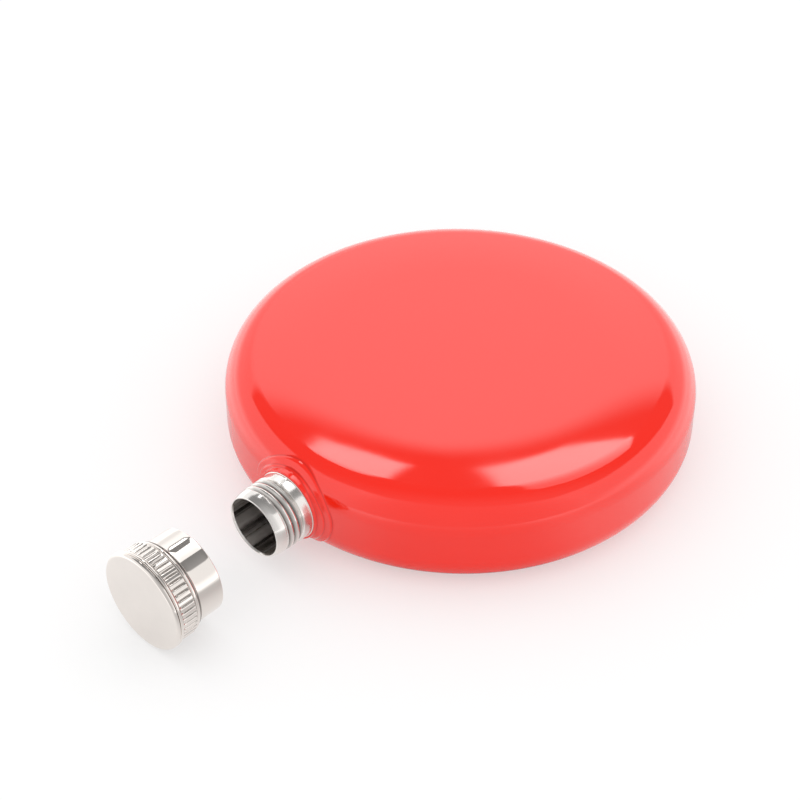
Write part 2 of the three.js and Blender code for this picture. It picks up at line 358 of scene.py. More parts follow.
def turned_piece(name, radius, along, angle, materials, body, stands_for):
    """A piece turned about the neck's axis whose outline starts and ends on the axis."""
    rows, columns = radius.shape[0] - 2, len(angle)
    grid = carried_round(radius[1:-1], along[1:-1], angle).reshape(-1, 3)
    ends = carried_round(np.zeros((2, 1)), along[[0, -1]], np.zeros(1)).reshape(-1, 3)
    points = np.concatenate([grid, ends])
    ring = np.arange(columns)
    last = ring + (rows - 1) * columns
    triangles = np.concatenate([fan(rows * columns, ring), fan(rows * columns + 1, last[::-1])])
    return piece(name, points, ring_quads(rows, columns), triangles, materials, body, stands_for)


def store(made, name, values):
    """Keeps one value for each point of the mesh, for its material to read."""
    layer = made.data.attributes.new(name, "FLOAT", "POINT")
    padded = np.zeros(len(made.data.vertices), np.float32)
    padded[: values.size] = np.ravel(values)
    layer.data.foreach_set("value", padded)


# Shader nodes

WHITE = (1.0, 1.0, 1.0, 1.0)


def node(tree, kind, inputs=None, **settings):
    """Adds a node with its settings, and sets or links its inputs by name or number."""
    made = tree.nodes.new("ShaderNode" + kind)
    for key, value in settings.items():
        setattr(made, key, value)
    for key, value in (inputs or {}).items():
        if isinstance(value, bpy.types.NodeSocket):
            tree.links.new(value, made.inputs[key])
        else:
            made.inputs[key].default_value = value
    return made


def maths(tree, operation, *values):
    """One step of arithmetic on values or sockets."""
    return node(tree, "Math", dict(enumerate(values)), operation=operation).outputs[0]


def vectors(tree, operation, *values):
    """One step of arithmetic on vectors, with both of its outputs, Vector and Value."""
    return node(tree, "VectorMath", dict(enumerate(values)), operation=operation).outputs


def between(tree, value, low, high, at_low=0.0, at_high=1.0):
    """A smooth change from at_low to at_high as a value goes from low to high."""
    inputs = {"Value": value, "From Min": low, "From Max": high, "To Min": at_low, "To Max": at_high}
    return node(tree, "MapRange", inputs, interpolation_type="SMOOTHSTEP").outputs["Result"]


def mixed(tree, share, first, second, kind="FLOAT"):
    """The first of two values at a share of 0, the second at a share of 1, and a mixture in between."""
    inputs = {"Factor": share, "A": first, "B": second}
    return node(tree, "Mix", inputs, data_type=kind).outputs["Result"]


def own_place(tree):
    """Where a point is, in the coordinates of its own object."""
    return node(tree, "TexCoord").outputs["Object"]


def noise(tree, place, scale, detail=2.0, roughness=0.5):
    """Smooth random values about a half, by place."""
    inputs = {"Vector": place, "Scale": scale, "Detail": detail, "Roughness": roughness}
    return node(tree, "TexNoise", inputs).outputs["Fac"]


def effect(name, inputs, output):
    """An empty node group with inputs by name and value, and one output.

    Returns the group, what goes in and the socket for what comes out.
    """
    group = bpy.data.node_groups.new(name, "ShaderNodeTree")

    def socket(label, side):
        kind = "NodeSocketColor" if label == "Colour" else "NodeSocketFloat"
        return group.interface.new_socket(label, in_out=side, socket_type=kind)

    for label, value in inputs.items():
        socket(label, "INPUT").default_value = value
    socket(output, "OUTPUT")
    return group, group.nodes.new("NodeGroupInput").outputs, group.nodes.new("NodeGroupOutput").inputs[output]


# Stretches of the noise over which roughness goes from its least to its most, and how wiping draws a haze out
HAZE_SPAN = (0.12, 0.42)
HAZE_DRAW = (3.0, 1.0, 6.0)
STREAK_SPAN = (0.38, 0.64)
ACROSS_NECK = (1.0, 0.0, 1.0)


def tone_drift(name):
    """A colour that drifts a little lighter and darker over the surface."""
    group, given, result = effect(name, {"Colour": WHITE, "Scale": 60, "Amount": 0.05}, "Colour")
    drift = maths(group, "SUBTRACT", noise(group, own_place(group), given["Scale"], detail=3.0), 0.5)
    value = maths(group, "ADD", 1.0, maths(group, "MULTIPLY", drift, given["Amount"]))
    made = node(group, "HueSaturation", {"Color": given["Colour"], "Value": value})
    group.links.new(made.outputs["Color"], result)
    return group


def handling_haze(name):
    """Roughness that varies as on a wiped and handled surface, with faint streaks."""
    group, given, result = effect(name, {"Scale": 45, "Least": 0.05, "Most": 0.1}, "Roughness")
    place = own_place(group)
    drawn = node(group, "Mapping", {"Vector": place, "Scale": HAZE_DRAW}).outputs["Vector"]
    broad = noise(group, place, given["Scale"], detail=4.0)
    streak = noise(group, drawn, given["Scale"], detail=6.0)
    both = maths(group, "MULTIPLY", broad, streak)
    group.links.new(between(group, both, *HAZE_SPAN, given["Least"], given["Most"]), result)
    return group


def turned_lines(name):
    """Height of the fine lines that a tool leaves round a piece: noise that changes only along the axis."""
    group, given, result = effect(name, {"Scale": 9000, "Wander": 60}, "Height")
    scale = node(group, "CombineXYZ", {"X": given["Wander"], "Y": given["Scale"], "Z": given["Wander"]})
    place = vectors(group, "MULTIPLY", own_place(group), scale.outputs["Vector"])["Vector"]
    group.links.new(noise(group, place, scale=1.0), result)
    return group


def drawn_streaks(name):
    """Roughness in streaks that run along a drawn tube: noise that changes only across the axis."""
    group, given, result = effect(name, {"Scale": 300, "Least": 0.2, "Most": 0.5}, "Roughness")
    across = vectors(group, "MULTIPLY", own_place(group), ACROSS_NECK)["Vector"]
    streak = noise(group, across, given["Scale"], detail=4.0, roughness=0.6)
    group.links.new(between(group, streak, *STREAK_SPAN, given["Least"], given["Most"]), result)
    return group


def use(tree, maker, inputs):
    """Places a shared effect in a material, with its group made on its first use."""
    group = bpy.data.node_groups.get(maker.__name__) or maker(maker.__name__)
    return node(tree, "Group", inputs, node_tree=group).outputs[0]


def finish(name, settings):
    """A material with one surface shader whose plain values are set on its own sockets."""
    made = bpy.data.materials.new(name)
    made.use_nodes = True
    tree = made.node_tree
    shader = tree.nodes["Principled BSDF"]
    for key, value in settings.items():
        shader.inputs[key].default_value = value
    return made, tree, shader.inputs


def rgba(value):
    """A colour with full opacity."""
    return (*value, 1.0)


def shaded_in_recesses(tree, tone, shade_colour, amount):
    """A tone drawn toward a colour of painted shade by an amount of the piece's own recess attribute."""
    low = node(tree, "Attribute", attribute_name="recess").outputs["Fac"]
    return mixed(tree, maths(tree, "MULTIPLY", low, amount), tone, rgba(shade_colour), kind="RGBA")


def dress(tree, shader, tone, rough, height, strength, depth):
    """Gives a surface shader its tone, its roughness and a bump of a strength and a depth."""
    bump = node(tree, "Bump", {"Height": height, "Strength": strength, "Distance": depth})
    tree.links.new(tone, shader["Base Color"])
    tree.links.new(rough, shader["Roughness"])
    tree.links.new(bump.outputs["Normal"], shader["Normal"])


def lacquer_finish(colours):
    """Red gloss lacquer: drifting tone, painted shade in corners, faint haze and the waviness of spraying."""
    made, tree, shader = finish("red_lacquer", {"Metallic": 0.0, "IOR": 1.7})
    tone = use(tree, tone_drift, {"Colour": rgba(colours.lacquer), "Scale": 38.0, "Amount": 0.05})
    # Painted shade: the lacquer darkens in the inner corners of the boss.
    tone = shaded_in_recesses(tree, tone, colours.crease_shade, amount=0.7)
    rough = use(tree, handling_haze, {"Scale": 30.0, "Least": 0.035, "Most": 0.075})
    waves = noise(tree, own_place(tree), scale=420.0)
    dress(tree, shader, tone, rough, waves, strength=0.05, depth=0.02 * MM)
    return made


def metal_finish(name, tint, groove_shade, haze, lines, recess, worn=handling_haze, scale=220.0):
    """Bright metal: a drifting tone with painted shade in recesses, a worn haze and fine turned lines.

    haze gives the least and the most roughness, lines the number of lines in a metre and their depth, and
    worn and scale the kind of haze and its scale.
    """
    made, tree, shader = finish(name, {"Metallic": 1.0})
    tone = use(tree, tone_drift, {"Colour": rgba(tint), "Scale": 160.0, "Amount": 0.08})
    tone = shaded_in_recesses(tree, tone, groove_shade, recess)
    rough = use(tree, worn, {"Scale": scale, "Least": haze[0], "Most": haze[1]})
    height = use(tree, turned_lines, {"Scale": lines[0], "Wander": 12.0})
    dress(tree, shader, tone, rough, height, strength=0.3, depth=lines[1])
    return made


def steel_finish(colours):
    """Bright turned steel of the neck."""
    haze, lines = (0.12, 0.2), (5200.0, 0.006 * MM)
    return metal_finish("spout_steel", colours.steel, colours.groove_shade, haze, lines, recess=0.9)


def bare_finish(colours):
    """Dull streaked steel of the bore and of the inside of the body."""
    haze, lines = (0.1, 0.58), (1500.0, 0.2 * MM)
    return metal_finish("bare_steel", colours.inside, colours.groove_shade, haze, lines, 0.0, drawn_streaks, 330.0)


def plate_finish(colours):
    """Bright nickel plate of the cap."""
    haze, lines = (0.03, 0.09), (2600.0, 0.004 * MM)
    return metal_finish("nickel_plate", colours.nickel, colours.groove_shade, haze, lines, recess=0.7)


def moulded_finish(name, tint, haze, grain):
    """A moulded piece: a drifting tone, a sheen from the least to the most haze, and a fine even grain."""
    made, tree, shader = finish(name, {"Metallic": 0.0, "IOR": 1.46})
    tone = use(tree, tone_drift, {"Colour": rgba(tint), "Scale": 300.0, "Amount": 0.12})
    rough = use(tree, handling_haze, {"Scale": 250.0, "Least": haze[0], "Most": haze[1]})
    specks = noise(tree, own_place(tree), scale=4000.0)
    dress(tree, shader, tone, rough, specks, strength=0.4, depth=grain)
    return made


# The body's skin, as (x, along, up) from the body's centre until it is put in the frame

FRAME_SIGNS = (1, -1, 1)
# How far out the inside and the boss are looked for, and how often that stretch is halved
BEYOND_BODY = 1.3 * BODY_RADIUS
LIFT_LEAST = -1 * MM
LIFT_MOST = 6 * MM
HALVINGS = 40
# Shares of the steps' rounding: what leaves a corner as good as sharp, and the depth of filling at which the
# painted shade in a corner is full
SHARP = 0.01
FILLED = 0.25


def body_shape(sizes):
    """Centres, heights and lengths of the stretches of the body's section, from the named sizes."""
    edge_centre = BODY_RADIUS - sizes.edge_radius
    crown_height = HALF_THICKNESS - sizes.crown_radius
    lean = math.asin((edge_centre - sizes.flat_radius) / (sizes.crown_radius - sizes.edge_radius))
    edge_height = crown_height + (sizes.crown_radius - sizes.edge_radius) * math.cos(lean)
    crown_start = edge_height + sizes.edge_radius * (math.pi / 2 - lean)
    flat_start = crown_start + sizes.crown_radius * lean
    return SimpleNamespace(
        edge_centre=edge_centre, edge_height=edge_height, crown_height=crown_height, lean=lean,
        crown_start=crown_start, flat_start=flat_start, pole=flat_start + sizes.flat_radius,
    )


def body_surface(turn, reach, sizes):
    """Points and normals of the body.

    The two parameters are the turn about the body's own axis, from the neck, and the reach along the skin
    from the middle of the side, up or down. The skin runs up the straight side, round the edge arc and the
    crown arc, and then level over the flat.
    """
    shape = body_shape(sizes)
    far = np.abs(reach)
    on = [far <= shape.edge_height, far <= shape.crown_start, far <= shape.flat_start]
    on_edge = math.pi / 2 - (far - shape.edge_height) / sizes.edge_radius
    on_crown = shape.lean - (far - shape.crown_start) / sizes.crown_radius
    tilt = np.select(on, [np.full(far.shape, math.pi / 2), on_edge, on_crown], 0)
    radius = np.select(on, [
        np.full(far.shape, BODY_RADIUS),
        shape.edge_centre + sizes.edge_radius * np.sin(tilt),
        sizes.flat_radius + sizes.crown_radius * np.sin(tilt),
    ], shape.pole - far)
    up = np.select(on, [
        far,
        shape.edge_height + sizes.edge_radius * np.cos(tilt),
        shape.crown_height + sizes.crown_radius * np.cos(tilt),
    ], HALF_THICKNESS)
    side, level = np.sign(reach), np.sin(tilt)
    spot = np.broadcast_arrays(radius * np.sin(turn), radius * np.cos(turn), up * side)
    normal = np.broadcast_arrays(level * np.sin(turn), level * np.cos(turn), np.cos(tilt) * side)
    return np.stack(spot), np.stack(normal)


def body_distance(spot, sizes):
    """Distance of points outside the body, each from the stretch of it that the point lies across from."""
    shape = body_shape(sizes)
    radius, up = np.hypot(spot[0], spot[1]), np.abs(spot[2])
    edge = np.hypot(radius - shape.edge_centre, up - shape.edge_height) - sizes.edge_radius
    crown = np.hypot(radius - sizes.flat_radius, up - shape.crown_height) - sizes.crown_radius
    on_edge = np.arctan2(radius - shape.edge_centre, up - shape.edge_height) >= shape.lean
    places = [up <= shape.edge_height, on_edge, radius >= sizes.flat_radius]
    return np.select(places, [radius - BODY_RADIUS, edge, crown], up - HALF_THICKNESS)


def soft_least(a, b, width):
    """The lesser of two distances, with the corner between them filled to a round of about that width."""
    share = np.clip(0.5 + 0.5 * (b - a) / width, 0, 1)
    return b + (a - b) * share - width * share * (1 - share)


def soft_most(a, b, width):
    """The greater of two distances, with the corner between them rounded."""
    return -soft_least(-a, -b, width)


def skin_distance(spot, sizes, width):
    """Distance outside the skin: the body joined to two low oval steps and a flat round seat, by a round."""
    body = body_distance(spot, sizes)
    oval = np.hypot(spot[0], spot[2] / sizes.step_oval)
    outer = soft_most(body - sizes.outer_step_height, oval - BOSS_RADIUS, width)
    inner = soft_most(body - sizes.inner_step_height, oval - sizes.inner_step_radius, width)
    seat = soft_most(spot[1] - BOSS_SEAT, np.hypot(spot[0], spot[2]) - sizes.seat_radius, width / 2)
    boss = soft_least(soft_least(outer, inner, width), seat, width)
    return np.where(spot[1] > 0, soft_least(body, boss, width), body)


def found(distance, at, low, high):
    """The value between low and high where the distance of the point at that value is nil, by halving."""
    for _ in range(HALVINGS):
        middle = (low + high) / 2
        outside = distance(at(middle)) > 0
        high = np.where(outside, middle, high)
        low = np.where(outside, low, middle)
    return (low + high) / 2


def slope(distance, spot, step=FINE / 10):
    """Unit direction in which a distance grows, from its change over a small step each way."""
    shifts = (np.eye(3) * step).reshape((3, 3) + (1,) * (spot.ndim - 1))
    change = np.stack([distance(spot + shift) - distance(spot - shift) for shift in shifts])
    return change / np.linalg.norm(change, axis=0)


def skin_grid(sizes):
    """Reaches and turns of the body's grid, close together near the neck, and the rows that pass the neck."""
    shape = body_shape(sizes)
    window = shape.crown_start + sizes.patch_crown
    ends = (shape.pole, shape.flat_start, window, shape.crown_start, shape.edge_height, 0)
    spans = zip(ends, ends[1:], BODY_ROWS)
    upper = np.concatenate([np.linspace(start, end, rows, endpoint=False) for start, end, rows in spans])[1:]
    reach = np.concatenate([upper, [0], -upper[::-1]])
    half = sizes.patch_width / BODY_RADIUS
    near = np.linspace(-half, half, BOSS_COLUMNS + 1)
    far = np.linspace(half, 2 * math.pi - half, BODY_COLUMNS + 1)[1:-1]
    passing = np.flatnonzero(np.abs(reach) <= window + TINY)
    return reach, np.concatenate([near, far]), passing[0], passing[-1]


def patch_edge(first, last, columns):
    """Point numbers round the window that the grid leaves for the neck, in order."""
    rows, along = np.arange(first, last + 1), np.arange(BOSS_COLUMNS + 1)
    return np.concatenate([
        first * columns + along,
        rows[1:] * columns + BOSS_COLUMNS,
        last * columns + along[-2::-1],
        rows[-2:0:-1] * columns,
    ])


def neck_patch(sizes, edge_turn, edge_reach):
    """The boss, from the hole for the neck out to the window's edge, and its directions round the neck.

    Rows run from the hole to a circle just outside the steps and on to the window. Each point of the body
    below them is moved out along its normal until it is on the skin.
    """
    shape = body_shape(sizes)
    edge = np.stack([edge_turn * BODY_RADIUS, edge_reach])
    column = np.arctan2(edge[1], edge[0])
    x, up = sizes.hole_radius * np.cos(column), sizes.hole_radius * np.sin(column)
    tilt = np.arctan2(np.hypot(x, BOSS_SEAT) - shape.edge_centre, np.abs(up) - shape.edge_height)
    foot = shape.edge_height + sizes.edge_radius * (math.pi / 2 - tilt)
    foot = np.where(np.abs(up) > shape.edge_height, foot * np.sign(up), up)
    hole = np.stack([np.arctan2(x, BOSS_SEAT) * BODY_RADIUS, foot])[:, None]
    ring = sizes.patch_ring * np.stack([np.cos(column), np.sin(column)])[:, None]
    near = np.linspace(0, 1, BOSS_ROWS)[:, None]
    far = np.linspace(0, 1, APRON_ROWS + 2)[1:-1, None]
    rows = [hole * (1 - near) + ring * near, ring * (1 - far) + edge[:, None] * far]
    across, reach = np.concatenate(rows, axis=1)
    spot, normal = body_surface(across / BODY_RADIUS, reach, sizes)

    def skin(place):
        return skin_distance(place, sizes, sizes.step_round)

    low, high = np.full(across.shape, LIFT_LEAST), np.full(across.shape, LIFT_MOST)
    lift = found(skin, lambda height: spot + height * normal, low, high)
    return spot + lift * normal, column


def body_inside(sizes, column):
    """The bare inside, where rays from the body's centre meet the body one wall further in.

    A ray's angle from the neck's axis and its direction round that axis are the two parameters.
    """
    def inside(spot):
        return body_distance(spot, sizes) + sizes.wall

    far = np.full(column.shape, BEYOND_BODY)
    x, up = sizes.hole_radius * np.cos(column), sizes.hole_radius * np.sin(column)
    mouth = found(inside, lambda along: np.stack([x, along, up]), 0 * far, far)
    first = np.arctan2(sizes.hole_radius, mouth)
    angle = first + (math.pi - first) * np.linspace(0, 1, INSIDE_ROWS + 1)[:-1, None]
    aim = np.stack([np.sin(angle) * np.cos(column), np.cos(angle), np.sin(angle) * np.sin(column)])
    spot = aim * found(inside, lambda distance: aim * distance, 0 * angle, 0 * angle + far)
    return spot, -slope(inside, spot)


def aligned(points, faces, toward):
    """The faces, turned over together if they look against the directions of their points."""
    a, b, c = (points[faces[:, i]] for i in range(3))
    return faces if (np.cross(b - a, c - a) * toward[faces[:, 0]]).sum() > 0 else faces[:, ::-1]


def body_skin(sizes):
    """The lacquered skin and the bare inside, as one closed shell.

    Returns points, their normals, the painted shade at each where lacquer fills a corner, quads,
    triangles, and for each face 1 if it is bare and 0 if it is lacquered.
    """
    reach, turn, first, last = skin_grid(sizes)
    columns = len(turn)
    body = body_surface(turn, reach[:, None], sizes)[0]
    edge = patch_edge(first, last, columns)
    boss, column = neck_patch(sizes, turn[edge % columns], reach[edge // columns])
    inside, inside_facing = body_inside(sizes, column)
    poles = np.array([[0, 0, HALF_THICKNESS], [0, 0, -HALF_THICKNESS], [0, sizes.wall - BODY_RADIUS, 0]]).T
    pole_facing = np.array([[0, 0, 1], [0, 0, -1], [0, 1, 0]]).T
    parts = [body.reshape(3, -1), boss.reshape(3, -1), inside.reshape(3, -1), poles]
    boss_start, inside_start, pole_start = np.cumsum([part.shape[1] for part in parts[:3]])
    points = np.concatenate(parts, axis=1).T * FRAME_SIGNS + BODY_CENTRE
    outside = np.concatenate(parts[:2], axis=1)
    width = sizes.step_round
    outside_facing = slope(lambda spot: skin_distance(spot, sizes, width), outside)
    facing = [outside_facing, inside_facing.reshape(3, -1), pole_facing]
    facing = np.concatenate(facing, axis=1).T * FRAME_SIGNS
    # Painted shade: how far the rounded skin fills a corner sets how dark the lacquer is there.
    crease_shade = np.zeros(len(points))
    depth = skin_distance(outside, sizes, SHARP * width)
    crease_shade[: outside.shape[1]] = np.clip(depth / (FILLED * width), 0, 1)

    count, ring, round_body = len(column), np.arange(len(column)), np.arange(columns)
    grid = ring_quads(len(reach), columns)
    row, place = np.divmod(np.arange(len(grid)), columns)
    grid = grid[(row < first) | (row >= last) | (place >= BOSS_COLUMNS)]
    steps = ring_quads(boss.shape[1], count, boss_start)
    join = band(inside_start - count + ring, edge)
    lacquered = [aligned(points, faces, facing) for faces in (grid, steps, join)]
    bare = aligned(points, ring_quads(inside.shape[1], count, inside_start), facing)
    to_axis = (BODY_CENTRE - points) * (1, 0, 1)
    rim = aligned(points, band(boss_start + ring, inside_start + ring), to_axis)
    ends = [
        fan(pole_start, round_body),
        fan(pole_start + 1, boss_start - columns + round_body),
        fan(pole_start + 2, pole_start - count + ring),
    ]
    quads = np.concatenate([*lacquered, bare, rim])
    triangles = np.concatenate([aligned(points, faces, facing) for faces in ends])
    is_bare = np.zeros(len(quads) + len(triangles), np.int32)
    is_bare[sum(map(len, lacquered)):len(quads)] = 1
    is_bare[-count:] = 1
    return points, facing, crease_shade, quads, triangles, is_bare


def without_spares(count, quads, triangles):
    """The numbers of the points that faces use, out of a count of points, and the faces numbered to match."""
    used = np.unique(np.concatenate([quads.ravel(), triangles.ravel()]))
    renumbered = np.zeros(count, int)
    renumbered[used] = np.arange(len(used))
    return used, renumbered[quads], renumbered[triangles]


class FLASK_OT_body(bpy.types.Operator):
    """Makes the lacquered skin of the body and the bare steel inside it"""

    bl_idname = "flask.body"
    bl_label = "Body skin"

    def execute(self, context):
        settings = context.scene.hip_flask
        points, facing, crease_shade, quads, triangles, is_bare = body_skin(settings.body)
        used, quads, triangles = without_spares(len(points), quads, triangles)
        finishes = [lacquer_finish(settings.finish), bare_finish(settings.finish)]
        made = piece(
            "body_skin", points[used], quads, triangles, finishes,
            "flask", ["front_shell", "back_shell", "neck_boss"],
        )
        made.data.polygons.foreach_set("material_index", is_bare)
        made.data.normals_split_custom_set_from_vertices(facing[used].tolist())
        store(made, "recess", crease_shade[used])
        return {"FINISHED"}


# The neck and the cap. Their outlines are corners of (radius, along or depth, rounding).

# The longest sides of an outline, in a thread and on plain stretches
NECK_THREAD_SIDE, NECK_SIDE = 0.09 * MM, 0.5 * MM
LINER_THREAD_SIDE, LINER_SIDE = 0.1 * MM, 0.8 * MM
CAP_SIDE = 0.9 * MM
SEAL_SIDE = 0.5 * MM
# The rounding of a bead's corners as a share of its width, and the spread of a groove as a share of a rib's
BEAD_ROUND = 0.46
GROOVE_SPREAD = 0.12


def neck_corners(sizes, thread_start, thread_end):
    """Corners from the bore's inner end out round the shank, the weld, the collar, the thread and the lip."""
    root = THREAD_RADIUS - sizes.thread_depth
    foot = BOSS_SEAT + FINE / 5
    weld = foot + FINE / 4
    weld_radius = THREAD_RADIUS + sizes.weld_width
    middle = (THREAD_RADIUS + sizes.lip_radius) / 2 + sizes.lead_in_crown
    return [
        (sizes.bore_radius, NECK_END, FINE),
        (sizes.shank_radius, NECK_END, FINE),
        (sizes.shank_radius, foot, FINE / 8),
        (weld_radius, foot, FINE / 16),
        (weld_radius, weld, FINE / 16),
        (THREAD_RADIUS, weld, 0.9 * sizes.weld_width),
        (THREAD_RADIUS, thread_start - 2 * FINE, FINE),
        (root, thread_start, FINE),
        (root, thread_end - FINE, FINE),
        (THREAD_RADIUS - FINE / 2, thread_end + FINE, 1.5 * FINE),
        (middle, LIP - sizes.lead_in / 2, 2 * sizes.lead_in),
        (sizes.lip_radius, LIP, 1.2 * FINE),
        (sizes.bore_radius + 1.5 * FINE, LIP, FINE / 2),
        (sizes.bore_radius, LIP - 4 * FINE, 2 * FINE),
    ]


class FLASK_OT_neck(bpy.types.Operator):
    """Makes the steel neck with its collar, thread, lead-in and lip"""

    bl_idname = "flask.neck"
    bl_label = "Threaded neck"

    def execute(self, context):
        settings = context.scene.hip_flask
        sizes = settings.neck
        thread_end = LIP - sizes.lead_in
        thread_start = thread_end - sizes.thread_length
        outline = rounded(neck_corners(sizes, thread_start, thread_end), closed=True)
        outline = np.concatenate([outline, outline[:1]])
        outline = refined(outline, NECK_SIDE, thread_start, thread_end, NECK_THREAD_SIDE)[:-1]
        angle = even_angles(NECK_COLUMNS)
        radius, along = outline[:, :1], outline[:, 1:]
        in_bore = radius < sizes.bore_radius + FINE / 2
        ridge = thread_ridge(along - thread_start, angle, sizes.thread_pitch)
        within = stretch(along, thread_start, thread_end, sizes.thread_ease) * ~in_bore
        points = carried_round(radius + sizes.thread_depth * ridge * within, along, angle)
        rows, ring = len(outline), np.arange(NECK_COLUMNS)
        closing = band(ring + (rows - 1) * NECK_COLUMNS, ring)
        made = piece(
            "neck_spout", points.reshape(-1, 3), np.concatenate([ring_quads(rows, NECK_COLUMNS), closing]),
            np.empty((0, 3), int), [steel_finish(settings.finish), bare_finish(settings.finish)],
            "flask", ["neck"],
        )
        is_bare = np.repeat(in_bore[:, 0], NECK_COLUMNS).astype(np.int32)
        made.data.polygons.foreach_set("material_index", is_bare)
        # Painted shade: the steel darkens at the bottom of the thread's grooves.
        store(made, "recess", within * (1 - ridge))
        return {"FINISHED"}


class FLASK_OT_cap_shell(bpy.types.Operator):
    """Makes the plated cap with its beads, fluted grip and skirt"""

    bl_idname = "flask.cap_shell"
    bl_label = "Cap shell"

    def execute(self, context):
        settings = context.scene.hip_flask
        sizes = settings.cap
        fine = FINE / 2
        floor_radius = sizes.flute_radius - sizes.groove_depth
        bore = sizes.skirt_radius - sizes.skirt_wall
        face_end = sizes.face_round + sizes.face_edge
        bead_start = face_end + sizes.groove
        bead_end = bead_start + sizes.front_bead
        flute_start = bead_end + sizes.groove
        flute_end = flute_start + sizes.flute_length
        back_start = flute_end + sizes.groove
        back_end = back_start + sizes.back_bead
        last_end = back_end + sizes.last_bead
        corners = [
            (0, 0, 0),
            (RIM_RADIUS, 0, sizes.face_round),
            (RIM_RADIUS, face_end, fine),
            (floor_radius, face_end + fine, fine),
            (floor_radius, bead_start - fine, fine),
            (RIM_RADIUS, bead_start, BEAD_ROUND * sizes.front_bead),
            (RIM_RADIUS, bead_end, BEAD_ROUND * sizes.front_bead),
            (floor_radius, bead_end + fine, fine),
            (floor_radius, flute_start - fine, fine),
            (sizes.flute_radius, flute_start, 2.5 * fine),
            (sizes.flute_radius, flute_end, 2.5 * fine),
            (floor_radius - fine, flute_end + fine, fine),
            (floor_radius - fine, back_start - fine, fine),
            (sizes.back_bead_radius, back_start, BEAD_ROUND * sizes.back_bead),
            (sizes.back_bead_radius, back_end, BEAD_ROUND * sizes.back_bead),
            (sizes.last_bead_radius - 4 * fine, back_end + fine, fine),
            (sizes.last_bead_radius, back_end + 2 * fine, BEAD_ROUND * sizes.last_bead),
            (sizes.last_bead_radius, last_end, BEAD_ROUND * sizes.last_bead),
            (sizes.skirt_radius, last_end + 2 * fine, 2 * fine),
            (sizes.skirt_radius, CAP_LENGTH, 5 * fine),
            (bore, CAP_LENGTH, 2 * fine),
            (bore, sizes.top_wall, 4 * fine),
            (0, sizes.top_wall, 0),
        ]
        outline = refined(rounded(corners), CAP_SIDE)
        angle = even_angles(COLUMNS_FOR_EACH_FLUTE * sizes.flute_count)
        radius, depth = outline[:, :1], outline[:, 1:]
        turn = angle * sizes.flute_count / (2 * math.pi)
        groove = np.exp(-(((turn + 0.5) % 1 - 0.5) / GROOVE_SPREAD) ** 2)
        on_grip = radius > floor_radius + fine
        cut = stretch(depth, flute_start, flute_end, sizes.flute_ease) * on_grip * groove
        made = turned_piece(
            "cap_shell_skin", radius - sizes.flute_depth * cut, CAP_FACE - depth, angle,
            [plate_finish(settings.finish)], "cap", ["cap_shell"],
        )
        # Painted shade: the plate darkens in the grooves of the grip and beside the beads.
        sunk = np.clip((floor_radius + 3 * fine - radius) / (3 * fine), 0, 1) * (depth < last_end)
        sunk = sunk * (radius > floor_radius - 3 * fine)
        store(made, "recess", np.maximum(cut, sunk)[1:-1])
        return {"FINISHED"}


class FLASK_OT_cap_liner(bpy.types.Operator):
    """Makes the moulded liner with the thread inside the cap"""

    bl_idname = "flask.cap_liner"
    bl_label = "Cap liner"

    def execute(self, context):
        settings = context.scene.hip_flask
        sizes, neck = settings.cap, settings.neck
        outside, bore = LINER_RADIUS, LINER_RADIUS - sizes.liner_wall
        start, end = CAP_FACE + LINER_LOW.y, CAP_FACE + LINER_HIGH.y
        floor = start + sizes.liner_top
        corners = [
            (0, start, 0),
            (outside, start, 3 * FINE),
            (outside, end, FINE),
            (bore, end, 2 * FINE),
            (bore, floor, 2 * FINE),
            (0, floor, 0),
        ]
        thread_start = CAP_FACE + SEAL_HIGH.y + sizes.thread_gap
        thread_end = end - sizes.thread_ease
        outline = refined(rounded(corners), LINER_SIDE, thread_start, thread_end, LINER_THREAD_SIDE)
        angle = even_angles(LINER_COLUMNS)
        radius, depth = outline[:, :1], outline[:, 1:]
        along = CAP_FACE - depth
        neck_thread = LIP - neck.lead_in - neck.thread_length
        ridge = 1 - thread_ridge(along - CAP_TRAVEL - neck_thread, angle, neck.thread_pitch)
        on_bore = (radius < outside - 3 * FINE) & (radius > bore - 3 * FINE)
        within = stretch(depth, thread_start, thread_end, sizes.thread_ease) * on_bore
        moulded = moulded_finish("liner_plastic", settings.finish.liner, (0.38, 0.55), 0.004 * MM)
        turned_piece(
            "cap_liner_skin", radius - sizes.liner_thread * ridge * within, along, angle, [moulded],
            "cap", ["cap_liner"],
        )
        return {"FINISHED"}


class FLASK_OT_cap_seal(bpy.types.Operator):
    """Makes the soft seal with the mark that the lip presses into it"""

    bl_idname = "flask.cap_seal"
    bl_label = "Cap seal"

    def execute(self, context):
        settings = context.scene.hip_flask
        start, end = CAP_FACE + SEAL_LOW.y, CAP_FACE + SEAL_HIGH.y
        mark = end - FINE
        corners = [
            (0, start, 0),
            (SEAL_RADIUS, start, 6 * FINE),
            (SEAL_RADIUS, end, 5 * FINE),
            (settings.neck.lip_radius + FINE, end, FINE / 3),
            (settings.neck.lip_radius, mark, FINE / 3),
            (settings.neck.bore_radius, mark, FINE / 3),
            (settings.neck.bore_radius - FINE, end, FINE / 3),
            (0, end, 0),
        ]
        outline = refined(rounded(corners), SEAL_SIDE)
        rubber = moulded_finish("seal_rubber", settings.finish.seal, (0.55, 0.75), 0.008 * MM)
        turned_piece(
            "cap_seal_skin", outline[:, :1], CAP_FACE - outline[:, 1:], even_angles(SEAL_COLUMNS), [rubber],
            "cap_seal", ["cap_seal"],
        )
        return {"FINISHED"}


# Stage

